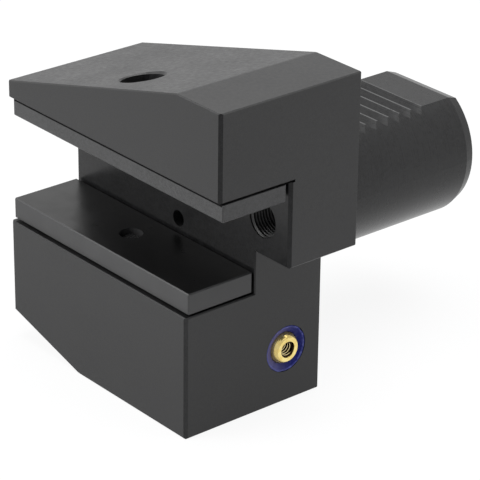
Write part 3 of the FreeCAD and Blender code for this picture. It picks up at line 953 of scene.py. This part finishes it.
@dataclass
class ClampDrive:
    """The screws under the clamping plate, and the screw and spring that pull it down."""

    sizes: Frame
    builder: Builder
    clamp: Thread = field(default_factory=lambda: Thread(5.0, 1.5))
    small: Thread = field(default_factory=lambda: Thread(3.0, 1.0))
    plug: Thread = field(default_factory=lambda: Thread(4.0, 1.0))
    head: tuple[float, float] = (5.0, 6.0)
    spring_turns: int = 6
    spring_length: float = 15.0
    wire: float = 0.6
    wire_steps: int = 40
    wire_points: int = 14

    def build(self) -> None:
        """Builds every screw and the spring."""
        for number in range(1, 5):
            name = f"clamp_screw_{number}"
            low, middle = self.sizes.low(name), self.sizes.middle(name)
            length = self.sizes.size(name).z
            screw = SocketScrew(name, self.clamp, length, socket=5.0, socket_deep=6.0, body=name)
            screw.build(self.builder, (middle.x, middle.y, low.z), Axis.UP)
        name = "return_screw"
        low, middle = self.sizes.low(name), self.sizes.middle(name)
        pull = self.capped(name, "clamp")
        pull.build(self.builder, (middle.x, middle.y, low.z), Axis.UP)
        name = "support_plate_screw"
        high, middle = self.sizes.high(name), self.sizes.middle(name)
        hold = self.capped(name, "holder")
        hold.build(self.builder, (middle.x, middle.y, high.z), Axis.DOWN)
        name = "coolant_inlet_plug"
        high, middle = self.sizes.high(name), self.sizes.middle(name)
        deep = self.sizes.size(name).y
        plug = SocketScrew(name, self.plug, deep, socket=4.0, socket_deep=4.0, body="holder")
        plug.build(self.builder, (middle.x, high.y, middle.z), Axis.FRONT)
        self.spring()

    def capped(self, name: str, body: str) -> SocketScrew:
        """Returns a small screw with a round head, which stands for a solid and rides on a body."""
        shaft = self.sizes.size(name).z - self.head[1]
        return SocketScrew(name, self.small, shaft, socket=5.0, socket_deep=3.0, body=body, head=self.head)

    def spring(self) -> None:
        """Builds the return spring, with its end turns closed."""
        low, high = self.sizes.low("return_spring"), self.sizes.high("return_spring")
        middle = self.sizes.middle("return_spring")
        radius = (high.x - low.x) / 2 - self.wire
        room = high.z - low.z - 2 * self.wire
        steps, around = self.wire_steps * self.spring_turns, self.wire_points
        mesh = bmesh.new()
        rows = []
        for step in range(steps + 1):
            share = step / steps
            eased = self.closed_ends(share)
            angle = 2 * math.pi * self.spring_turns * share
            outward = Vector((math.cos(angle), math.sin(angle), 0.0))
            centre = outward * radius + Vector((0.0, 0.0, self.wire + room * eased))
            row = []
            for index in range(around):
                turn = 2 * math.pi * index / around
                lift = Vector((0.0, 0.0, self.wire * math.sin(turn)))
                row.append(mesh.verts.new(centre + outward * self.wire * math.cos(turn) + lift))
            rows.append(row)
        for before, after in zip(rows, rows[1:]):
            for index in range(around):
                beside = (index + 1) % around
                mesh.faces.new((before[index], before[beside], after[beside], after[index]))
        mesh.faces.new(list(reversed(rows[0])))
        mesh.faces.new(rows[-1])
        spring = self.builder.piece("return_spring_coil", mesh, (middle.x, middle.y, low.z), Axis.UP,
                                    "bright_steel", "bright_steel", "holder", ("return_spring",), 60.0)
        travel = next(joint for joint in frame["joints"] if joint["name"] == "clamp_slide")["range_m"][1]
        keep = 1 - travel / ((high.z - low.z) * MM)
        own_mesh(spring)

    def closed_ends(self, share: float) -> float:
        """Returns the rise along the wire, slower in the first and last turn.

        Args:
            share: How far along the wire, from 0 to 1.

        Returns:
            How far up the spring, from 0 to 1.
        """
        end = 1 / self.spring_turns
        slow = 2 * self.wire / self.spring_length
        if share < end:
            return slow * share / end
        if share > 1 - end:
            return 1 - slow * (1 - share) / end
        return slow + (1 - 2 * slow) * (share - end) / (1 - 2 * end)


@dataclass
class CoolantNozzle:
    """The swivelling ball and the blue ring that holds it."""

    sizes: Frame
    builder: Builder
    ball: float = 4.3
    bore: float = 2.1
    front: float = 2.8
    back: float = 3.4
    ring: float = 6.3
    dish_wide: float = 5.9
    dish_deep: float = 0.9
    gap: float = 0.14
    reach: float = 3.1
    pitch: float = 0.85
    arc_steps: int = 28
    rim_dip: float = 0.09
    rim_wave: float = 0.025

    def build(self) -> None:
        """Builds the ball, its thread and the ring."""
        centre = self.sizes.middle("nozzle_seal")
        face = self.sizes.high("nozzle_seat_ring").x
        ball_x = self.sizes.high("nozzle_ball").x - self.reach
        self.build_ball((ball_x, centre.y, centre.z))
        self.build_ring((face, centre.y, centre.z), face - ball_x)

    def build_ball(self, place: Sequence[float]) -> None:
        """Builds the ball about its centre, with its front along +Z before it is turned.

        Args:
            place: The ball's centre in millimetres.
        """
        end = math.sqrt(self.ball**2 - self.back**2)
        rings = [Ring(-self.back, self.bore), Ring(-self.back, end - 0.15)]
        low = math.asin(-self.back / self.ball)
        high = math.asin(self.front / self.ball)
        for step in range(1, self.arc_steps):
            angle = low + (high - low) * step / self.arc_steps
            rings.append(Ring(self.ball * math.sin(angle), self.ball * math.cos(angle)))
        flat = self.ball * math.cos(high)
        rings += [Ring(self.front - 0.06, flat - 0.02), Ring(self.front - 0.01, flat - 0.1)]
        rings += [Ring(self.front, flat - 0.22), Ring(self.front, self.bore + 0.2)]
        rings += [Ring(self.front - 0.05, self.bore + 0.1), Ring(self.front - 0.25, self.bore)]
        mesh = self.builder.turned(rings, closed=True)
        thread = Thread(self.bore, self.pitch)
        self.builder.ridge(mesh, -self.back + 0.4, self.front - 0.35, thread.major + 0.04,
                           thread.minor + 0.03, thread.pitch, 72)
        self.builder.piece("nozzle_ball_turned", mesh, place, Axis.RIGHT, "brass", "brass", "nozzle",
                           ("nozzle_ball",), 28.0)

    def build_ring(self, place: Sequence[float], sink: float) -> None:
        """Builds the ring from its front face at 0 down, with a thin uneven rim.

        Args:
            place: The centre of its front face in millimetres.
            sink: How far the ball's centre lies behind that face.
        """
        deep = self.sizes.size("nozzle_seat_ring").x
        socket = self.ball + self.gap
        lip = math.sqrt(socket**2 - (sink - self.dish_deep) ** 2)
        rings = [Ring(-deep, socket), Ring(-deep, self.ring - 0.3), Ring(-deep + 0.3, self.ring)]
        rings += [Ring(-0.35, self.ring), Ring(-0.12, self.ring - 0.03), Ring(-0.02, self.ring - 0.12)]
        rings += [Ring(0.0, self.ring - 0.22), Ring(-0.02, self.ring - 0.32), Ring(-0.1, self.dish_wide)]
        rings += [Ring(-0.4, self.dish_wide - 0.75), Ring(-0.72, lip + 0.32), Ring(-0.86, lip + 0.1)]
        rings += [Ring(-self.dish_deep, lip)]
        for step in range(1, 9):
            height = -self.dish_deep - (sink - self.dish_deep) * step / 8
            rings.append(Ring(height, math.sqrt(max(0.0, socket**2 - (sink + height) ** 2))))
        mesh = self.builder.turned(rings, closed=True, points=144)
        for vertex in mesh.verts:
            reach = math.hypot(vertex.co.x, vertex.co.y)
            if vertex.co.z > -0.8 and lip + 0.2 < reach < self.ring - 0.02:
                wave = noise.noise(Vector((vertex.co.x * 0.9, vertex.co.y * 0.9, 3.1)))
                vertex.co.z -= self.rim_dip * abs(wave)
                vertex.co.x *= 1 + self.rim_wave * wave
                vertex.co.y *= 1 + self.rim_wave * wave
        self.builder.piece("nozzle_seat_ring_dished", mesh, place, Axis.RIGHT, "blue_seat", "blue_plastic",
                           "holder", ("nozzle_seat_ring",), 60.0)


@dataclass
class Studio:
    """The floor, the white surround, the lamps and the camera."""

    floor_height: float
    floor_half: float = 3.0
    floor_tone: float = 0.82
    floor_glow: float = 1.06
    glow_share: float = 0.85
    soft_light: float = 0.2
    soft_tone: tuple[float, float, float, float] = (0.9, 0.93, 1.0, 1.0)
    white: tuple[float, float, float, float] = (1.0, 1.0, 1.0, 1.0)
    camera_place: tuple[float, float, float] = (456.88, -386.71, 271.84)
    azimuth: float = 49.86
    elevation: float = 25.41
    roll: float = 0.72
    lens: float = 192.0
    sensor: float = 36.0

    def build(self) -> None:
        """Builds the whole setting."""
        self.build_floor()
        self.build_world()
        self.build_lamps()
        self.build_camera()
        settings = bpy.context.scene.view_settings
        settings.view_transform = "Standard"

    def seen(self, graph: Graph) -> Field:
        """Returns 1 for rays from the camera or through and off glossy surfaces."""
        path = graph.add("ShaderNodeLightPath", {}, {}, "Is Camera Ray")
        node = path.socket.node
        glossy = Field(graph, node.outputs["Is Glossy Ray"])
        clear = Field(graph, node.outputs["Is Transmission Ray"])
        return path.larger(glossy).larger(clear)

    def build_floor(self) -> None:
        """Builds a pale floor that keeps the object's shadow and looks white."""
        graph = Graph("pale_floor")
        tone = (self.floor_tone, self.floor_tone, self.floor_tone, 1.0)
        diffuse = graph.add("ShaderNodeBsdfDiffuse", {}, {"Color": tone})
        glow = graph.add("ShaderNodeEmission", {}, {"Color": self.white, "Strength": self.floor_glow})
        graph.finish(graph.blend(self.seen(graph) * self.glow_share, diffuse, glow))
        mesh = bpy.data.meshes.new("floor")
        half = self.floor_half
        corners = [(-half, -half), (half, -half), (half, half), (-half, half)]
        mesh.from_pydata([(x, y, self.floor_height) for x, y in corners], [], [(0, 1, 2, 3)])
        mesh.materials.append(graph.material)
        floor = bpy.data.objects.new("floor", mesh)
        bpy.context.scene.collection.objects.link(floor)

    def build_world(self) -> None:
        """Makes the surround white to look at, and a soft cool light."""
        graph = WorldGraph("studio")
        soft = graph.add("ShaderNodeBackground", {}, {"Color": self.soft_tone, "Strength": self.soft_light})
        white = graph.add("ShaderNodeBackground", {}, {"Color": self.white})
        both = graph.blend(self.seen(graph), soft, white)
        graph.add("ShaderNodeOutputWorld", {}, {"Surface": both})

    def build_lamps(self) -> None:
        """Hangs a large soft lamp above and a smaller one at the left."""
        self.lamp("top_softbox", (0.05, 0.1, 0.9), size=0.9, power=8.0)
        self.lamp("left_softbox", (-0.5, -0.9, 0.6), size=0.6, power=8.0)

    def lamp(self, name: str, place: Sequence[float], size: float, power: float) -> None:
        """Adds one square area lamp that faces the origin.

        Args:
            name: The lamp's name.
            place: Where it hangs, in metres.
            size: The length of its sides in metres.
            power: Its power in watts.
        """
        data = bpy.data.lights.new(name, "AREA")
        data.energy, data.size = power, size
        lamp = bpy.data.objects.new(name, data)
        lamp.location = place
        lamp.rotation_euler = (-Vector(place)).to_track_quat("-Z", "Y").to_euler()
        bpy.context.scene.collection.objects.link(lamp)

    def build_camera(self) -> None:
        """Sets the camera at the photograph's angle."""
        turn, rise, roll = (math.radians(part) for part in (self.azimuth, self.elevation, self.roll))
        back = Vector((math.sin(turn) * math.cos(rise), -math.cos(turn) * math.cos(rise), math.sin(rise)))
        level = Vector((math.cos(turn), math.sin(turn), 0.0))
        upright = back.cross(level)
        right = level * math.cos(roll) + upright * math.sin(roll)
        up = upright * math.cos(roll) - level * math.sin(roll)
        data = bpy.data.cameras.new("camera")
        data.lens, data.sensor_width = self.lens, self.sensor
        data.clip_start, data.clip_end = 0.01, 20.0
        camera = bpy.data.objects.new("camera", data)
        turned = Matrix((right, up, back)).transposed().to_4x4()
        camera.matrix_world = Matrix.Translation(Vector(self.camera_place) * MM) @ turned
        bpy.context.scene.collection.objects.link(camera)
        bpy.context.scene.camera = camera


def make_finishes(sizes: Frame) -> dict[str, bpy.types.Material]:
    """Makes every finish once.

    Args:
        sizes: The solids' places and sizes.

    Returns:
        Materials by name.
    """
    nozzle = sizes.middle("nozzle_seal")
    finishes = [
        HolderSkin("body_black", block_floor=sizes.low("holder_body").z),
        PlateSkin("plate_black", tone=(0.03, 0.03, 0.0305), roughness=0.4, grain=0.22, wear_and_highlight_share=0.0),
        GroundBlack("clamp_black"),
        BlackOxide("bore_black", tone=(0.01, 0.01, 0.01), roughness=0.4, grain=0.15, wear_and_highlight_share=0.0),
        BlackOxide("screw_black", slot="screw_steel", roughness=0.3, grain=0.15, wear_and_highlight_share=0.0),
        TurnedMetal("bright_steel", "bright_steel", (0.6, 0.6, 0.61), (0.4, 0.4, 0.41)),
        NozzleBrass(nozzle.y, nozzle.z),
        BlueSeat(nozzle.y, nozzle.z),
        SealRubber(),
    ]
    return {finish.name: finish.make() for finish in finishes}


def main() -> None:
    """Builds the holder and its setting."""
    logging.basicConfig(level=logging.INFO, format="%(message)s")
    sizes = Frame()
    builder = Builder(make_finishes(sizes))
    HolderBlock(sizes, builder).build()
    ClampDrive(sizes, builder).build()
    CoolantNozzle(sizes, builder).build()
    Studio(sizes.low("holder_body").z * MM).build()


if __name__ == "__main__":
    main()
